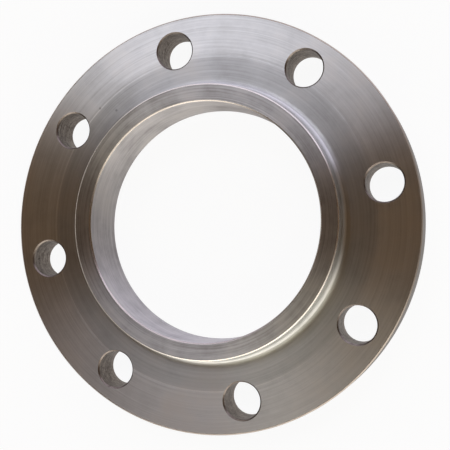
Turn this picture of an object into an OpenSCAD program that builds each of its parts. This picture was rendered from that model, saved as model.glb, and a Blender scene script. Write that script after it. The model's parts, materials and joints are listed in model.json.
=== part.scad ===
// Slip-on pipe flange: a drilled disc with a low hub on one side and a raised joint face on the other.
// Millimetres. It lies on its raised face with the hub up, and its axis is the Z axis.
// It is laid out from the pipe outwards: the bore, the hub, the bolt circle, then the rim.

/* [Bore and hub] */
// Outside diameter of the pipe that slips into the bore
pipe_d = 141.3; // [80:0.1:220]
// Gap between the pipe and the bore, all round
pipe_clearance = 0.65; // [0.4:0.05:3]
// Chamfer at both ends of the bore
bore_chamfer = 0.8; // [0.2:0.1:3]
// Wall of the hub, from the bore to the outside
hub_wall = 10.7; // [6:0.1:16]
// Height of the hub over the disc
hub_h = 12.7; // [8:0.1:40]
// Fillet between the hub and the disc
hub_root_r = 5; // [1:0.5:7]
// Chamfer on the outer edge of the hub's end
hub_chamfer = 0.7; // [0.2:0.1:2]

/* [Disc] */
// Thickness of the disc, without the raised face
disc_t = 22.3; // [14:0.1:40]
// Distance from the bolt circle out to the rim
bolts_to_rim = 19.05; // [15:0.05:40]
// Chamfer turned on both edges of the rim
rim_chamfer = 0.8; // [0.2:0.1:2]

/* [Raised face] */
// Width of the raised joint face, from the bore to its edge
face_w = 21.55; // [14:0.05:23.5]
// Height of the raised face over the disc
face_h = 1.6; // [1.2:0.1:6]
// Radius that the tool leaves in the corner round the raised face
face_root_r = 0.6; // [0.2:0.1:0.8]
// Chamfer on the outer edge of the raised face
face_chamfer = 0.3; // [0.1:0.1:0.4]

/* [Bolt holes] */
// Number of bolt holes, spread evenly on either side of the X and Y axes
bolt_count = 8; // [4:4:12]
// Distance from the hub's wall out to the bolt circle, which leaves room for the nuts
hub_to_bolts = 25.95; // [25:0.05:50]
// Diameter of the bolts
bolt_d = 19.05; // [10:0.05:21]
// Gap between a bolt and its hole, all round
bolt_clearance = 1.59; // [0.5:0.01:2.5]
// Chamfer at both ends of a bolt hole
bolt_chamfer = 0.8; // [0.2:0.1:1.5]

/* [Hidden] */
$fn = 180;

// Radii, from the bore out to the rim
bore_r = pipe_d / 2 + pipe_clearance;
face_r = bore_r + face_w;
hub_r = bore_r + hub_wall;
bolt_circle_r = hub_r + hub_to_bolts;
disc_r = bolt_circle_r + bolts_to_rim;
hole_r = bolt_d / 2 + bolt_clearance;

// Heights over the raised face: the joint side of the disc, the side that the nuts seat on, the hub's end
joint_z = face_h;
seat_z = joint_z + disc_t;
end_z = seat_z + hub_h;

// Angle between two bolt holes
bolt_step = 360 / bolt_count;

// Half section of the turned body, with square corners where the two fillets go
module square_section() {
    polygon([
        [bore_r + bore_chamfer, 0],
        [face_r - face_chamfer, 0],
        [face_r, face_chamfer],
        [face_r, joint_z - face_root_r],
        [face_r + face_root_r, joint_z - face_root_r],
        [face_r + face_root_r, joint_z],
        [disc_r - rim_chamfer, joint_z],
        [disc_r, joint_z + rim_chamfer],
        [disc_r, seat_z - rim_chamfer],
        [disc_r - rim_chamfer, seat_z],
        [hub_r + hub_root_r, seat_z],
        [hub_r + hub_root_r, seat_z + hub_root_r],
        [hub_r, seat_z + hub_root_r],
        [hub_r, end_z - hub_chamfer],
        [hub_r - hub_chamfer, end_z],
        [bore_r + bore_chamfer, end_z],
        [bore_r, end_z - bore_chamfer],
        [bore_r, bore_chamfer]
    ]);
}

// Half section with the hub's fillet and the corner round the raised face hollowed out
module turned_section() {
    difference() {
        square_section();
        translate([hub_r + hub_root_r, seat_z + hub_root_r]) circle(r = hub_root_r);
        translate([face_r + face_root_r, joint_z - face_root_r]) circle(r = face_root_r);
    }
}

// What the drill takes out for one bolt hole, chamfered at both ends and standing past both faces
module drilled_hole() {
    past = bolt_chamfer;
    wide_r = hole_r + bolt_chamfer + past;
    rotate_extrude()
        polygon([
            [0, joint_z - past],
            [wide_r, joint_z - past],
            [hole_r, joint_z + bolt_chamfer],
            [hole_r, seat_z - bolt_chamfer],
            [wide_r, seat_z + past],
            [0, seat_z + past]
        ]);
}

// The flange, turned and drilled from one forging
module flange() {
    color("#8d8680")
        difference() {
            rotate_extrude() turned_section();
            for (i = [0 : bolt_count - 1])
                rotate((i + 0.5) * bolt_step)
                    translate([bolt_circle_r, 0])
                        drilled_hole();
        }
}

flange();
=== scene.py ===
import json
import math

import bpy
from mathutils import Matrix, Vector

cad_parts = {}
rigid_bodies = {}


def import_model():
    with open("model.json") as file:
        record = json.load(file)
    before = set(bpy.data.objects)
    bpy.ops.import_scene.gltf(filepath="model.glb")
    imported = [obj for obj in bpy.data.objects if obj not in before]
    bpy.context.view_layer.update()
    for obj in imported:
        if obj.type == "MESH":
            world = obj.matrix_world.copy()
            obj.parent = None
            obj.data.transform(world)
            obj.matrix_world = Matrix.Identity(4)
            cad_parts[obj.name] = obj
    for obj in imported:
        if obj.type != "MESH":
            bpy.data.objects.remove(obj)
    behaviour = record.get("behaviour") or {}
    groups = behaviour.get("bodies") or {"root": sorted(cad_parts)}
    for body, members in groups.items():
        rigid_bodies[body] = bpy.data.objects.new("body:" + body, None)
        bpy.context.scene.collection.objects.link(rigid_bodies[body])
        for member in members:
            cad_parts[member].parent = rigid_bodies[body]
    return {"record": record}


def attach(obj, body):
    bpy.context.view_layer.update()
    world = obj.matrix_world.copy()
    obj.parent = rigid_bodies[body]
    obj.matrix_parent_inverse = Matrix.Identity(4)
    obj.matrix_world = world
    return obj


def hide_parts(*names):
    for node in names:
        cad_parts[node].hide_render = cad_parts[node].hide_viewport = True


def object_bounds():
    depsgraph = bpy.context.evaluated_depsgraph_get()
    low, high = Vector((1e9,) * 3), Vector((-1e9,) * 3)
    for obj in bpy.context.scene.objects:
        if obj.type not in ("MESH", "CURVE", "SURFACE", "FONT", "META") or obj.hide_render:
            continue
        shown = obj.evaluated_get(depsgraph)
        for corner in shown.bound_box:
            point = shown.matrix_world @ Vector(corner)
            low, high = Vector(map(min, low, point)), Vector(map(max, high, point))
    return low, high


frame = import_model()
cadLow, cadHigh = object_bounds()
mounts = {mount["name"]: mount for mount in frame["record"]["mounts"]}
mm = 0.001
hair = 0.001 * mm  # points closer than this are one point

# what the frame fixes, in metres
boreR = mounts["pipe_bore"]["dims"]["r_mm"] * mm
boltCircleR = mounts["bolt_holes"]["dims"]["pcd_mm"] / 2 * mm
boltHoleR = mounts["bolt_holes"]["dims"]["hole_r_mm"] * mm
boltCount = mounts["bolt_holes"]["dims"]["count"]
seatZ = mounts["nut_seat"]["pos_m"][2]
rimR = cadHigh.x
endZ = cadHigh.z
print("frame loaded: rim", round(rimR / mm, 2), "mm, height", round(endZ / mm, 2), "mm")


def toLinear(code):
    # sRGB hex to the linear values that the shaders take
    parts = [int(code[i:i + 2], 16) / 255 for i in (1, 3, 5)]
    linear = [c / 12.92 if c <= 0.04045 else ((c + 0.055) / 1.055) ** 2.4 for c in parts]
    return (*linear, 1.0)


def toward(bearing):
    # the level direction at a bearing, in degrees from the X axis
    turn = math.radians(bearing)
    return (math.cos(turn), math.sin(turn), 0)


def addNode(tree, kind, links=None, **settings):
    # a link is socket: source, where the source is another node's output or a fixed value
    node = tree.nodes.new(kind)
    for name, value in settings.items():
        setattr(node, name, value)
    for socket, source in (links or {}).items():
        if isinstance(source, bpy.types.NodeSocket):
            tree.links.new(source, node.inputs[socket])
        else:
            node.inputs[socket].default_value = source
    return node


def startMaterial(name):
    # a new material whose nodes are all still to be added
    mat = bpy.data.materials.new(name)
    mat.use_nodes = True
    mat.node_tree.nodes.clear()
    return mat


def startPiece(name):
    # the last primitive becomes a piece with its place in its mesh
    piece = bpy.context.object
    piece.name = name
    piece.data.name = name
    bpy.ops.object.transform_apply(location=True, rotation=True, scale=True)
    return piece


def pick(piece, domain, wanted):
    # edit mode, with only those verts, edges or faces selected whose middle is wanted
    modes = {"vertices": "VERT", "edges": "EDGE", "polygons": "FACE"}
    bpy.ops.object.mode_set(mode="EDIT")
    bpy.ops.mesh.select_mode(type=modes[domain])
    bpy.ops.mesh.select_all(action="DESELECT")
    bpy.ops.object.mode_set(mode="OBJECT")
    verts = piece.data.vertices
    for part in getattr(piece.data, domain):
        if domain == "vertices":
            middle = part.co
        elif domain == "edges":
            middle = (verts[part.vertices[0]].co + verts[part.vertices[1]].co) / 2
        else:
            middle = part.center
        part.select = bool(wanted(middle))
    bpy.ops.object.mode_set(mode="EDIT")


def isAt(x, z, reach=0.01 * mm):
    return lambda c: abs(c.x - x) < reach and abs(c.z - z) < reach


# The turned body: its half section is cut from a plane, its corners are broken, then it is spun.
# Sizes are in mm.
turnedBody = {
    "hubR": 82.0,
    "faceR": 92.85,
    "faceHigh": 1.6,
    "hubRootR": 5.0,
    "hubRootSteps": 14,
    "faceRootR": 0.6,
    "faceRootSteps": 5,
    "rimEdge": 0.8,
    "hubEdge": 0.7,
    "hubEdgeFlat": 0.12,  # how much less of the wall it takes than of the end
    "boreEdge": 0.8,
    "faceEdge": 0.3,
    "softCorner": 0.12,  # radius that the file leaves on both corners of an edge break
    "softSteps": 3,
    "toolStepR": 102.0,  # where the facing tool was lifted and set in again
    "toolStepWide": 0.7,  # the gentle side, which faces outwards
    "toolStepSteep": 0.12,
    "toolStepDeep": 0.07,
    "grooves": 25,  # of the gasket finish, about 0.8 mm apart
    "grooveDeep": 0.05,
    "turns": 320,
    "joinAngle": 1,  # degrees, flatter joins between cut faces are dissolved
}


def breakCorner(piece, x, z, reach, segments):
    pick(piece, "vertices", isAt(x, z))
    bpy.ops.mesh.bevel(offset=reach, segments=segments, affect="VERTICES")


def chamferCorner(piece, x, z, inX, inZ, reach, s):
    # inX and inZ point from the corner along its two sides
    soft = s["softCorner"] * mm
    breakCorner(piece, x, z, reach, 1)
    breakCorner(piece, x + inX * reach, z, soft, s["softSteps"])
    breakCorner(piece, x, z + inZ * reach, soft, s["softSteps"])


def makeTurnedBody(s):
    hubR = s["hubR"] * mm
    faceR = s["faceR"] * mm
    faceHigh = s["faceHigh"] * mm
    bpy.ops.object.select_all(action="DESELECT")
    bpy.ops.mesh.primitive_plane_add(
        size=1, location=((boreR + rimR) / 2, 0, endZ / 2), rotation=(math.pi / 2, 0, 0)
    )
    bpy.context.object.scale = (rimR - boreR, endZ, 1)
    body = startPiece("flange_body")

    # bisect along the hub, the seat and the raised face, and drop what is outside the section
    bpy.ops.object.mode_set(mode="EDIT")
    upright, level = (1, 0, 0), (0, 0, 1)
    cuts = [
        ((hubR, 0, 0), upright),
        ((faceR, 0, 0), upright),
        ((0, 0, seatZ), level),
        ((0, 0, faceHigh), level),
    ]
    for point, normal in cuts:
        bpy.ops.mesh.select_all(action="SELECT")
        bpy.ops.mesh.bisect(plane_co=point, plane_no=normal)
    pick(
        body, "polygons",
        lambda c: (c.x > hubR and c.z > seatZ) or (c.x > faceR and c.z < faceHigh),
    )
    bpy.ops.mesh.delete(type="FACE")
    bpy.ops.mesh.select_all(action="SELECT")
    bpy.ops.mesh.dissolve_limited(angle_limit=math.radians(s["joinAngle"]))

    # fillets first, then the edge breaks
    breakCorner(body, hubR, seatZ, s["hubRootR"] * mm, s["hubRootSteps"])
    breakCorner(body, faceR, faceHigh, s["faceRootR"] * mm, s["faceRootSteps"])
    chamferCorner(body, rimR, seatZ, -1, -1, s["rimEdge"] * mm, s)
    chamferCorner(body, rimR, faceHigh, -1, 1, s["rimEdge"] * mm, s)
    chamferCorner(body, hubR, endZ, -1, -1, s["hubEdge"] * mm, s)
    chamferCorner(body, boreR, endZ, 1, -1, s["boreEdge"] * mm, s)
    chamferCorner(body, boreR, 0, 1, 1, s["boreEdge"] * mm, s)
    breakCorner(body, faceR, 0, s["faceEdge"] * mm, s["softSteps"])

    # the hub's edge is flatter than 45 degrees, so that it mirrors the floor past the rim
    pick(body, "vertices", isAt(hubR, endZ - s["hubEdge"] * mm, 2 * s["softCorner"] * mm))
    bpy.ops.transform.translate(value=(0, 0, s["hubEdgeFlat"] * mm))

    # the low step that the facing tool left on the seat
    stepR = s["toolStepR"] * mm
    stepLowR = stepR - s["toolStepSteep"] * mm
    for cutR in (stepLowR - s["toolStepWide"] * mm, stepLowR, stepR):
        pick(body, "polygons", lambda c: True)
        bpy.ops.mesh.bisect(plane_co=(cutR, 0, 0), plane_no=upright)
    pick(body, "polygons", lambda c: True)
    bpy.ops.mesh.dissolve_faces()
    pick(body, "vertices", isAt(stepLowR, seatZ))
    bpy.ops.transform.translate(value=(0, 0, -s["toolStepDeep"] * mm))

    # every second point of the raised face is lifted into it, which makes the grooves
    pick(body, "edges", lambda c: c.z < hair and boreR + mm < c.x < faceR - mm)
    bpy.ops.mesh.subdivide(number_cuts=2 * s["grooves"] - 1)
    bpy.ops.object.mode_set(mode="OBJECT")
    low = sorted(v.co.x for v in body.data.vertices if v.co.z < hair)
    lifted = set(low[1:-1:2])
    pick(body, "vertices", lambda c: c.z < hair and c.x in lifted)
    bpy.ops.transform.translate(value=(0, 0, s["grooveDeep"] * mm))

    # the outline alone is spun
    bpy.ops.mesh.select_all(action="SELECT")
    bpy.ops.mesh.delete(type="ONLY_FACE")
    pick(body, "edges", lambda c: True)
    bpy.ops.mesh.spin(steps=s["turns"], angle=2 * math.pi, center=(0, 0, 0), axis=level)
    bpy.ops.mesh.select_all(action="SELECT")
    bpy.ops.mesh.remove_doubles(threshold=hair)
    bpy.ops.mesh.normals_make_consistent(inside=False)
    bpy.ops.object.mode_set(mode="OBJECT")
    return body


flange = makeTurnedBody(turnedBody)
print("turned body:", len(flange.data.polygons), "faces")


# The bolt holes: one flared drill is modelled, copied round the bolt circle and cut out.
# Sizes are in mm.
boltHoles = {
    "edge": 0.8,  # chamfer at both ends
    "past": 2.0,  # how far the drill stands out of both faces
    "sides": 96,
    "fromX": 0.5,  # the first hole's place, in steps from the X axis
    "endReach": 0.1,  # how near to the drill's end a point counts as its end
}


def drillBoltHoles(body, s, faceHigh):
    edge = s["edge"] * mm
    past = s["past"] * mm
    step = 2 * math.pi / boltCount
    first = s["fromX"] * step
    centre = Vector((boltCircleR * math.cos(first), boltCircleR * math.sin(first), 0))
    low, high = faceHigh * mm - past, seatZ + past
    bpy.ops.object.select_all(action="DESELECT")
    bpy.ops.mesh.primitive_cylinder_add(
        vertices=s["sides"], radius=boltHoleR, depth=high - low,
        location=centre + Vector((0, 0, (low + high) / 2)),
    )
    drill = startPiece("drill")
    wider = (boltHoleR + edge + past) / boltHoleR
    for end, cutZ in ((low, faceHigh * mm + edge), (high, seatZ - edge)):
        pick(drill, "polygons", lambda c: True)
        bpy.ops.mesh.bisect(plane_co=(0, 0, cutZ), plane_no=(0, 0, 1))
        pick(drill, "vertices", lambda c: abs(c.z - end) < s["endReach"] * mm)
        bpy.ops.transform.resize(value=(wider, wider, 1), center_override=centre)
    copies = boltCount - 1
    bpy.ops.mesh.select_all(action="SELECT")
    bpy.ops.mesh.spin(
        steps=copies, dupli=True, angle=step * copies, center=(0, 0, 0), axis=(0, 0, 1)
    )
    bpy.ops.mesh.select_all(action="SELECT")
    bpy.ops.mesh.normals_make_consistent(inside=False)
    bpy.ops.object.mode_set(mode="OBJECT")

    bpy.ops.object.select_all(action="DESELECT")
    body.select_set(True)
    bpy.context.view_layer.objects.active = body
    bpy.ops.object.modifier_add(type="BOOLEAN")
    cut = body.modifiers[-1]
    cut.operation = "DIFFERENCE"
    cut.solver = "EXACT"
    cut.object = drill
    bpy.ops.object.modifier_apply(modifier=cut.name)
    bpy.data.objects.remove(drill)


drillBoltHoles(flange, boltHoles, turnedBody["faceHigh"])
print("bolt holes drilled:", len(flange.data.polygons), "faces")


# Flat faces stay flat up to their broken edges, and the corners of the holes stay crisp.
shading = {
    "merge": 0.004,  # mm, closes the slivers that the drill leaves
    "crease": 32,  # degrees, a sharper corner stays crisp
    "weight": 60,  # how far large faces win over small ones, 50 is even
}


def smoothShading(body, s):
    bpy.ops.object.mode_set(mode="EDIT")
    bpy.ops.mesh.select_all(action="SELECT")
    bpy.ops.mesh.remove_doubles(threshold=s["merge"] * mm)
    bpy.ops.object.mode_set(mode="OBJECT")
    bpy.ops.object.shade_smooth_by_angle(angle=math.radians(s["crease"]))
    bpy.ops.object.modifier_add(type="WEIGHTED_NORMAL")
    weigh = body.modifiers[-1]
    weigh.mode = "FACE_AREA"
    weigh.weight = s["weight"]
    weigh.keep_sharp = True
    bpy.ops.object.modifier_apply(modifier=weigh.name)


smoothShading(flange, shading)


# Bare carbon steel off the lathe. The tool's feed leaves fine rings, so a light's reflection is
# drawn out across the rings, and the bright and dark sectors fan out from the axis.
# Feed marks are really about 0.2 mm apart: they are drawn coarser here, to show at all.
seatFinish = {
    "light": "#d4d4d1",
    "dark": "#b2b1ad",
    "contrast": (0.38, 0.62),  # mottle that comes out dark, and light
    "tint": "#c3bdb3",  # where thin oxide shows
    "tintFrom": (0.5, 0.7),  # cloud where the oxide begins, and is full
    "tintShare": 0.5,
    "rough": 0.30,
    "roughVary": 0.02,
    "roughFrom": (0.35, 0.65),  # mottle that is roughest, and smoothest
    "stretch": 0.92,
    "stretchTurn": 0.25,  # of a full turn, from along the rings to across them
    "feed": 0.9,  # mm between rings
    "feedShare": 0.44,
    "feedDetail": 3.0,
    "feedGrain": 0.65,
    "feedRelief": 0.012,  # mm
    "feedReliefShare": 0.4,
    "breaks": 14.0,  # of a streak, in one radian
    "streakShare": 0.1,
    "cloud": 34.0,  # mm across
    "cloudDetail": 5.0,
    "cloudGrain": 0.62,
    "passR": 101.3,  # mm from the axis, where the tool's second pass began and cut rougher
    "passSoft": 3.0,
    "passRough": 0.03,
    "passDull": 0.75,
    "paintedHighlight": 1.4,  # painted highlight: how much brighter the colour is made along the line where the tool was lifted
    "paintedHighlightWide": 0.6,
    "paintedHighlightBearing": 221,  # degrees from the X axis, where the painted highlight is brightest
    "paintedHighlightFade": 0.35,  # cosine from there: full over it, gone under its negative
    "specks": [(-83.9, 57.9), (-72.6, 58.3)],  # small dark stains, mm
    "speckR": 1.1,
    "speckCore": 0.3,  # share of a stain that is darkest
    "speckDark": 0.62,
}
# the other finishes have no inner pass, no painted highlight at the tool step and no stains
plainFinish = dict(seatFinish, passRough=0, passDull=1, paintedHighlight=1, specks=[])
# the hub's end was faced coarser, so its sectors are softer and darker
endFinish = dict(
    plainFinish, light="#c2c0bc", dark="#8f8c87", tint="#aca59b",
    rough=0.42, stretch=0.94, cloud=20.0, feedShare=0.54,
)
# the form tool rubbed the fillet, which gives the wide highlight round the hub
filletFinish = dict(plainFinish, dark="#b8b7b3", rough=0.33)
# edges were scraped, which gives thin bright lines, the brightest one round the hub
edgeFinish = dict(
    plainFinish, light="#c3bcb5", dark="#a69e95", tint="#b9b0a3", rough=0.27, stretch=0.6
)
hubEdgeFinish = dict(edgeFinish, light="#e0dad2", dark="#c2bbb1", tint="#d0c8bb")
# the bore was cut with a coarse feed: pale and dull, it takes in the floor and the walls at once
boreFinish = dict(
    plainFinish, light="#ccc9ca", dark="#a19d9e", tint="#b7b2ae",
    rough=0.60, stretch=0.85, feed=1.5, cloud=26.0,
)
# the rim has an older, browner skin, worn lighter on its edges
rimFinish = dict(
    plainFinish, light="#786f67", dark="#5c534c", tint="#695f55", rough=0.42, stretch=0.6
)
rimEdgeFinish = dict(rimFinish, light="#b3a89e", dark="#92877c", tint="#a19589", rough=0.36)
# the joint side is clean, and its grooves break up what it mirrors
gasketFinish = dict(plainFinish, stretch=0.6)


def turnedSteel(name, look):
    mat = startMaterial(name)
    tree = mat.node_tree
    place = addNode(tree, "ShaderNodeTexCoord").outputs["Object"]
    axes = addNode(tree, "ShaderNodeSeparateXYZ", {0: place}).outputs
    flat = addNode(tree, "ShaderNodeCombineXYZ", {"X": axes["X"], "Y": axes["Y"]}).outputs[0]
    radius = addNode(tree, "ShaderNodeVectorMath", {0: flat}, operation="LENGTH").outputs["Value"]
    around = addNode(
        tree, "ShaderNodeVectorMath", {0: flat}, operation="NORMALIZE"
    ).outputs["Vector"]
    along = addNode(
        tree, "ShaderNodeVectorMath", {0: (0, 0, 1), 1: around}, operation="CROSS_PRODUCT"
    )

    # rings run right round the axis, and streaks are rings that break off
    perFeed = 1 / (look["feed"] * mm)
    ringAt = addNode(tree, "ShaderNodeMath", {0: radius, 1: perFeed}, operation="MULTIPLY")
    heightAt = addNode(tree, "ShaderNodeMath", {0: axes["Z"], 1: perFeed}, operation="MULTIPLY")
    marks = []
    for breaks in (1.0, look["breaks"]):
        spread = addNode(
            tree, "ShaderNodeVectorMath", {0: around, "Scale": breaks}, operation="SCALE"
        )
        turn = addNode(tree, "ShaderNodeSeparateXYZ", {0: spread.outputs["Vector"]}).outputs
        lap = addNode(
            tree, "ShaderNodeCombineXYZ",
            {"X": ringAt.outputs[0], "Y": turn["X"], "Z": turn["Y"]},
        )
        noise = addNode(
            tree, "ShaderNodeTexNoise",
            {
                "Vector": lap.outputs[0], "W": heightAt.outputs[0], "Scale": 1.0,
                "Detail": look["feedDetail"], "Roughness": look["feedGrain"],
            },
            noise_dimensions="4D",
        )
        marks.append(noise.outputs["Fac"])
    rings, streaks = marks

    # clouds of thin oxide and handling under them
    cloud = addNode(
        tree, "ShaderNodeTexNoise",
        {
            "Vector": place, "Scale": 1 / (look["cloud"] * mm),
            "Detail": look["cloudDetail"], "Roughness": look["cloudGrain"],
        },
    ).outputs["Fac"]
    ringed = addNode(
        tree, "ShaderNodeMix", {"Factor": look["feedShare"], "A": cloud, "B": rings}
    )
    mottle = addNode(
        tree, "ShaderNodeMix",
        {"Factor": look["streakShare"], "A": ringed.outputs["Result"], "B": streaks},
    ).outputs["Result"]
    darkest, lightest = look["contrast"]
    shade = addNode(
        tree, "ShaderNodeMapRange",
        {"Value": mottle, "From Min": darkest, "From Max": lightest},
    )
    clean = addNode(
        tree, "ShaderNodeMix",
        {
            "Factor": shade.outputs["Result"],
            "A": toLinear(look["dark"]), "B": toLinear(look["light"]),
        },
        data_type="RGBA",
    )
    begins, full = look["tintFrom"]
    film = addNode(
        tree, "ShaderNodeMapRange",
        {"Value": cloud, "From Min": begins, "From Max": full, "To Max": look["tintShare"]},
    )
    color = addNode(
        tree, "ShaderNodeMix",
        {
            "Factor": film.outputs["Result"],
            "A": clean.outputs["Result"], "B": toLinear(look["tint"]),
        },
        data_type="RGBA",
    ).outputs["Result"]

    # the inner pass of the tool is rougher and a little duller
    inside = {
        "Value": radius,
        "From Min": (look["passR"] - look["passSoft"]) * mm,
        "From Max": (look["passR"] + look["passSoft"]) * mm,
    }
    dull = addNode(
        tree, "ShaderNodeMapRange", dict(inside, **{"To Min": look["passDull"], "To Max": 1})
    )
    coarse = addNode(
        tree, "ShaderNodeMapRange", dict(inside, **{"To Min": look["passRough"], "To Max": 0})
    )

    # a painted highlight: the colour is made brighter along the line where the pass begins, most
    # toward one bearing and not at all on the far side
    past = addNode(
        tree, "ShaderNodeMath", {0: radius, 1: look["passR"] * mm}, operation="SUBTRACT"
    )
    offLine = addNode(tree, "ShaderNodeMath", {0: past.outputs[0]}, operation="ABSOLUTE")
    near = addNode(
        tree, "ShaderNodeVectorMath", {0: around, 1: toward(look["paintedHighlightBearing"])},
        operation="DOT_PRODUCT",
    )
    paintedGlint = addNode(
        tree, "ShaderNodeMapRange",
        {
            "Value": near.outputs["Value"],
            "From Min": -look["paintedHighlightFade"], "From Max": look["paintedHighlightFade"],
            "To Min": 1, "To Max": look["paintedHighlight"],
        },
    )
    paintedLine = addNode(
        tree, "ShaderNodeMapRange",
        {
            "Value": offLine.outputs[0], "From Max": look["paintedHighlightWide"] * mm,
            "To Min": paintedGlint.outputs["Result"], "To Max": 1,
        },
    )
    factors = [dull.outputs["Result"], paintedLine.outputs["Result"]]
    for x, y in look["specks"]:
        off = addNode(
            tree, "ShaderNodeVectorMath", {0: flat, 1: (x * mm, y * mm, 0)}, operation="DISTANCE"
        )
        stain = addNode(
            tree, "ShaderNodeMapRange",
            {
                "Value": off.outputs["Value"],
                "From Min": look["speckCore"] * look["speckR"] * mm,
                "From Max": look["speckR"] * mm,
                "To Min": look["speckDark"], "To Max": 1,
            },
        )
        factors.append(stain.outputs["Result"])
    for factor in factors:
        color = addNode(
            tree, "ShaderNodeVectorMath", {0: color, 1: factor}, operation="MULTIPLY"
        ).outputs["Vector"]

    roughest, smoothest = look["roughFrom"]
    uneven = addNode(
        tree, "ShaderNodeMapRange",
        {
            "Value": mottle, "From Min": roughest, "From Max": smoothest,
            "To Min": look["rough"] + look["roughVary"],
            "To Max": look["rough"] - look["roughVary"],
        },
    )
    rough = addNode(
        tree, "ShaderNodeMath", {0: uneven.outputs["Result"], 1: coarse.outputs["Result"]},
        operation="ADD",
    )
    relief = addNode(
        tree, "ShaderNodeBump",
        {
            "Height": rings, "Strength": look["feedReliefShare"],
            "Distance": look["feedRelief"] * mm,
        },
    )
    steel = addNode(
        tree, "ShaderNodeBsdfPrincipled",
        {
            "Base Color": color, "Metallic": 1.0, "Roughness": rough.outputs[0],
            "Normal": relief.outputs["Normal"], "Tangent": along.outputs["Vector"],
            "Anisotropic": look["stretch"], "Anisotropic Rotation": look["stretchTurn"],
        },
    )
    addNode(tree, "ShaderNodeOutputMaterial", {"Surface": steel.outputs["BSDF"]})
    return mat


# Drilled steel: the twist drill tears the wall and leaves its feed in rings, so it is rough,
# dull and speckled, with cutting oil burnt brown.
drillFinish = {
    "light": "#a0968d",
    "dark": "#4f453e",
    "contrast": (0.38, 0.62),  # tone that comes out dark, and light
    "rough": 0.60,
    "speck": 1.2,  # mm across
    "speckDetail": 3.0,
    "speckGrain": 0.7,
    "smear": 3.5,  # mm across
    "smearShare": 0.35,
    "smearDetail": 2.0,
    "feed": 0.9,  # mm between rings
    "feedLong": 12.0,  # mm along a ring
    "feedShare": 0.4,
    "feedDetail": 2.0,
    "relief": 0.2,  # mm
    "reliefShare": 0.8,
}
# the lip is what the countersink left, smoother but as dark
lipFinish = dict(drillFinish, light="#8d847c", dark="#6a6058", rough=0.36, relief=0.02)


def drilledSteel(name, look):
    mat = startMaterial(name)
    tree = mat.node_tree
    place = addNode(tree, "ShaderNodeTexCoord").outputs["Object"]
    speck = addNode(
        tree, "ShaderNodeTexNoise",
        {
            "Vector": place, "Scale": 1 / (look["speck"] * mm),
            "Detail": look["speckDetail"], "Roughness": look["speckGrain"],
        },
    ).outputs["Fac"]
    smear = addNode(
        tree, "ShaderNodeTexNoise",
        {"Vector": place, "Scale": 1 / (look["smear"] * mm), "Detail": look["smearDetail"]},
    ).outputs["Fac"]
    perLength = 1 / (look["feedLong"] * mm)
    perFeed = 1 / (look["feed"] * mm)
    pressed = addNode(
        tree, "ShaderNodeVectorMath", {0: place, 1: (perLength, perLength, perFeed)},
        operation="MULTIPLY",
    )
    rings = addNode(
        tree, "ShaderNodeTexNoise",
        {"Vector": pressed.outputs["Vector"], "Scale": 1.0, "Detail": look["feedDetail"]},
    ).outputs["Fac"]
    dirty = addNode(tree, "ShaderNodeMix", {"Factor": look["smearShare"], "A": speck, "B": smear})
    tone = addNode(
        tree, "ShaderNodeMix",
        {"Factor": look["feedShare"], "A": dirty.outputs["Result"], "B": rings},
    )
    darkest, lightest = look["contrast"]
    shade = addNode(
        tree, "ShaderNodeMapRange",
        {"Value": tone.outputs["Result"], "From Min": darkest, "From Max": lightest},
    )
    color = addNode(
        tree, "ShaderNodeMix",
        {
            "Factor": shade.outputs["Result"],
            "A": toLinear(look["dark"]), "B": toLinear(look["light"]),
        },
        data_type="RGBA",
    )
    relief = addNode(
        tree, "ShaderNodeBump",
        {"Height": speck, "Strength": look["reliefShare"], "Distance": look["relief"] * mm},
    )
    steel = addNode(
        tree, "ShaderNodeBsdfPrincipled",
        {
            "Base Color": color.outputs["Result"], "Metallic": 1.0, "Roughness": look["rough"],
            "Normal": relief.outputs["Normal"],
        },
    )
    addNode(tree, "ShaderNodeOutputMaterial", {"Surface": steel.outputs["BSDF"]})
    return mat


finishes = {
    "seat": turnedSteel("turned_steel_seat", seatFinish),
    "hubEnd": turnedSteel("turned_steel_hub_end", endFinish),
    "fillet": turnedSteel("burnished_steel_fillet", filletFinish),
    "boreEdge": turnedSteel("scraped_steel_edge", edgeFinish),
    "hubEdge": turnedSteel("scraped_steel_hub_edge", hubEdgeFinish),
    "bore": turnedSteel("bored_steel", boreFinish),
    "rim": turnedSteel("turned_steel_rim", rimFinish),
    "rimEdge": turnedSteel("broken_steel_rim_edge", rimEdgeFinish),
    "jointFace": turnedSteel("serrated_steel_joint_face", gasketFinish),
    "boltHole": drilledSteel("drilled_steel", drillFinish),
    "boltHoleLip": drilledSteel("countersunk_steel_lip", lipFinish),
}

# Where each tool's work ends: mm past the nominal place, and the Z of the face's normal.
toolReach = {
    "steep": 0.3,  # a wall under this
    "level": 0.97,  # a flat face over this
    "filletLevel": 0.87,  # the fillet's foot, over this, looks like the seat
    "holeWall": 0.2,
    "holeLip": 1.2,
    "boreEdge": 1.0,
    "boreWall": 0.3,
    "hubEdge": 1.2,
    "hubEnd": 0.1,
    "rim": 1.0,
    "jointSide": 0.1,
}


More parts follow.
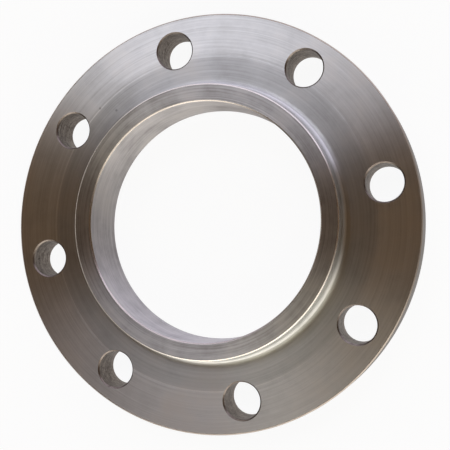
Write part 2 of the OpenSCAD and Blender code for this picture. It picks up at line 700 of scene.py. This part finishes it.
def finishOf(face, s, faceHigh):
    # which tool cut this face, from where it is and how it faces
    c, n = face.center, face.normal
    out = math.hypot(c.x, c.y)
    step = 2 * math.pi / boltCount
    nearest = (math.floor(math.atan2(c.y, c.x) / step) + boltHoles["fromX"]) * step
    holeX = boltCircleR * math.cos(nearest)
    holeY = boltCircleR * math.sin(nearest)
    offHole = math.hypot(c.x - holeX, c.y - holeY)
    slanted = s["steep"] < abs(n.z) < s["level"]
    if offHole < boltHoleR + s["holeWall"] * mm and abs(n.z) < s["steep"]:
        return "boltHole"
    if offHole < boltHoleR + s["holeLip"] * mm and slanted:
        return "boltHoleLip"
    if slanted and out < boreR + s["boreEdge"] * mm:
        return "boreEdge"
    if slanted and c.z > endZ - s["hubEdge"] * mm:
        return "hubEdge"
    if out < boreR + s["boreWall"] * mm:
        return "bore"
    if c.z > endZ - s["hubEnd"] * mm:
        return "hubEnd"
    if c.z > seatZ and n.z < s["filletLevel"]:
        return "fillet"
    if out > rimR - s["rim"] * mm:
        return "rimEdge" if slanted else "rim"
    if c.z < (faceHigh + s["jointSide"]) * mm:
        return "jointFace"
    return "seat"


for mat in finishes.values():
    flange.data.materials.append(mat)
order = list(finishes)
for face in flange.data.polygons:
    face.material_index = order.index(finishOf(face, toolReach, turnedBody["faceHigh"]))
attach(flange, "root")
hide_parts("flange")
print("finishes:", [mat.name for mat in finishes.values()])


# The camera stands where the photograph was taken from, a little to the right of the axis.
camera = {
    "place": (165.1, 6.05, 521.4),  # mm
    "turn": (2.65, 17.0, 11.08),  # degrees about X, Y and Z
    "lens": 69.6,  # mm
    "sensor": 36,  # mm across
    "nearest": 0.01,  # metres
    "farthest": 50,
}


def makeCamera(s):
    bpy.ops.object.camera_add(
        location=[x * mm for x in s["place"]], rotation=[math.radians(a) for a in s["turn"]]
    )
    eye = bpy.context.object
    eye.name = "photo_camera"
    eye.data.lens = s["lens"]
    eye.data.sensor_width = s["sensor"]
    eye.data.clip_start = s["nearest"]
    eye.data.clip_end = s["farthest"]
    bpy.context.scene.camera = eye


makeCamera(camera)


# A matt white sweep to lie on. Seen directly or mirrored in the steel it is nearly white, and
# the rest of it takes the flange's shadow.
floor = {
    "size": 30.0,  # metres
    "color": "#f2f1ef",
    "glow": 0.93,  # share of plain white where it is seen or mirrored
}


def makeFloor(s):
    bpy.ops.object.select_all(action="DESELECT")
    bpy.ops.mesh.primitive_plane_add(size=s["size"], location=(0, 0, 0))
    ground = startPiece("floor")
    mat = startMaterial("matt_white_paper")
    tree = mat.node_tree
    rays = addNode(tree, "ShaderNodeLightPath").outputs
    shown = rays["Is Camera Ray"]
    for ray in ("Is Glossy Ray", "Is Transmission Ray"):
        shown = addNode(
            tree, "ShaderNodeMath", {0: shown, 1: rays[ray]}, operation="MAXIMUM"
        ).outputs[0]
    share = addNode(tree, "ShaderNodeMath", {0: shown, 1: s["glow"]}, operation="MULTIPLY")
    paper = addNode(tree, "ShaderNodeBsdfDiffuse", {"Color": toLinear(s["color"])})
    white = addNode(tree, "ShaderNodeEmission", {"Color": (1, 1, 1, 1), "Strength": 1.0})
    both = addNode(
        tree, "ShaderNodeMixShader",
        {0: share.outputs[0], 1: paper.outputs[0], 2: white.outputs[0]},
    )
    addNode(tree, "ShaderNodeOutputMaterial", {"Surface": both.outputs[0]})
    ground.data.materials.append(mat)


makeFloor(floor)

# A dim brown room, paler towards the floor, with soft light from two of its sides, low down and
# high up. Bearings are counted from the picture's right and heights from the floor, in degrees.
room = {
    "dim": "#654f38",
    "horizon": "#b0aca6",
    "horizonHeight": 9,
}
roomLights = {
    "tall_window": {
        "bearing": 105, "half": 51, "soft": 6, "low": 50, "high": 70, "softHeight": 5,
        "strength": 2.76, "color": "#ebf0ff",
    },
    "cool_wall": {
        "bearing": 86, "half": 52, "soft": 6, "low": -8, "high": 42, "softHeight": 12,
        "strength": 1.55, "color": "#e3e4ff",
    },
    "warm_wall": {
        "bearing": 281, "half": 50, "soft": 20, "low": -8, "high": 26, "softHeight": 6,
        "strength": 2.66, "color": "#fffefa",
    },
    "far_window": {
        "bearing": 291, "half": 36, "soft": 8, "low": 38, "high": 56, "softHeight": 5,
        "strength": 1.94, "color": "#fffce6",
    },
}


def makeRoom(s, lights, spin):
    world = bpy.data.worlds.new("room")
    bpy.context.scene.world = world
    world.use_nodes = True
    tree = world.node_tree
    tree.nodes.clear()
    way = addNode(tree, "ShaderNodeTexCoord").outputs["Generated"]
    axes = addNode(tree, "ShaderNodeSeparateXYZ", {0: way}).outputs
    flat = addNode(tree, "ShaderNodeCombineXYZ", {"X": axes["X"], "Y": axes["Y"]}).outputs[0]
    around = addNode(
        tree, "ShaderNodeVectorMath", {0: flat}, operation="NORMALIZE"
    ).outputs["Vector"]
    top = math.sin(math.radians(s["horizonHeight"]))
    rise = addNode(
        tree, "ShaderNodeMapRange", {"Value": axes["Z"], "From Max": top},
        interpolation_type="SMOOTHSTEP",
    )
    light = addNode(
        tree, "ShaderNodeMix",
        {
            "Factor": rise.outputs["Result"],
            "A": toLinear(s["horizon"]), "B": toLinear(s["dim"]),
        },
        data_type="RGBA",
    ).outputs["Result"]
    for name, lit in lights.items():
        near = addNode(
            tree, "ShaderNodeVectorMath", {0: around, 1: toward(lit["bearing"] + spin)},
            operation="DOT_PRODUCT",
        ).outputs["Value"]
        # each mask runs from where the light is dark to where it is full
        half, soft = lit["half"], lit["soft"]
        low, high, softHeight = lit["low"], lit["high"], lit["softHeight"]
        sides = [math.cos(math.radians(angle)) for angle in (half + soft, half - soft)]
        foot = [math.sin(math.radians(angle)) for angle in (low - softHeight, low + softHeight)]
        head = [math.sin(math.radians(angle)) for angle in (high + softHeight, high - softHeight)]
        amount = 1.0
        for value, (dark, full) in ((near, sides), (axes["Z"], foot), (axes["Z"], head)):
            mask = addNode(
                tree, "ShaderNodeMapRange",
                {"Value": value, "From Min": dark, "From Max": full},
                interpolation_type="SMOOTHSTEP",
            )
            amount = addNode(
                tree, "ShaderNodeMath", {0: mask.outputs["Result"], 1: amount},
                operation="MULTIPLY",
            ).outputs[0]
        glow = tuple(lit["strength"] * c for c in toLinear(lit["color"])[:3])
        light = addNode(
            tree, "ShaderNodeVectorMath", {0: glow, 1: amount, 2: light},
            operation="MULTIPLY_ADD", label=name,
        ).outputs["Vector"]
    back = addNode(tree, "ShaderNodeBackground", {"Color": light, "Strength": 1.0})
    addNode(tree, "ShaderNodeOutputWorld", {"Surface": back.outputs[0]})


makeRoom(room, roomLights, camera["turn"][2])
bpy.context.scene.view_settings.view_transform = "Standard"
print("floor, room and camera set")
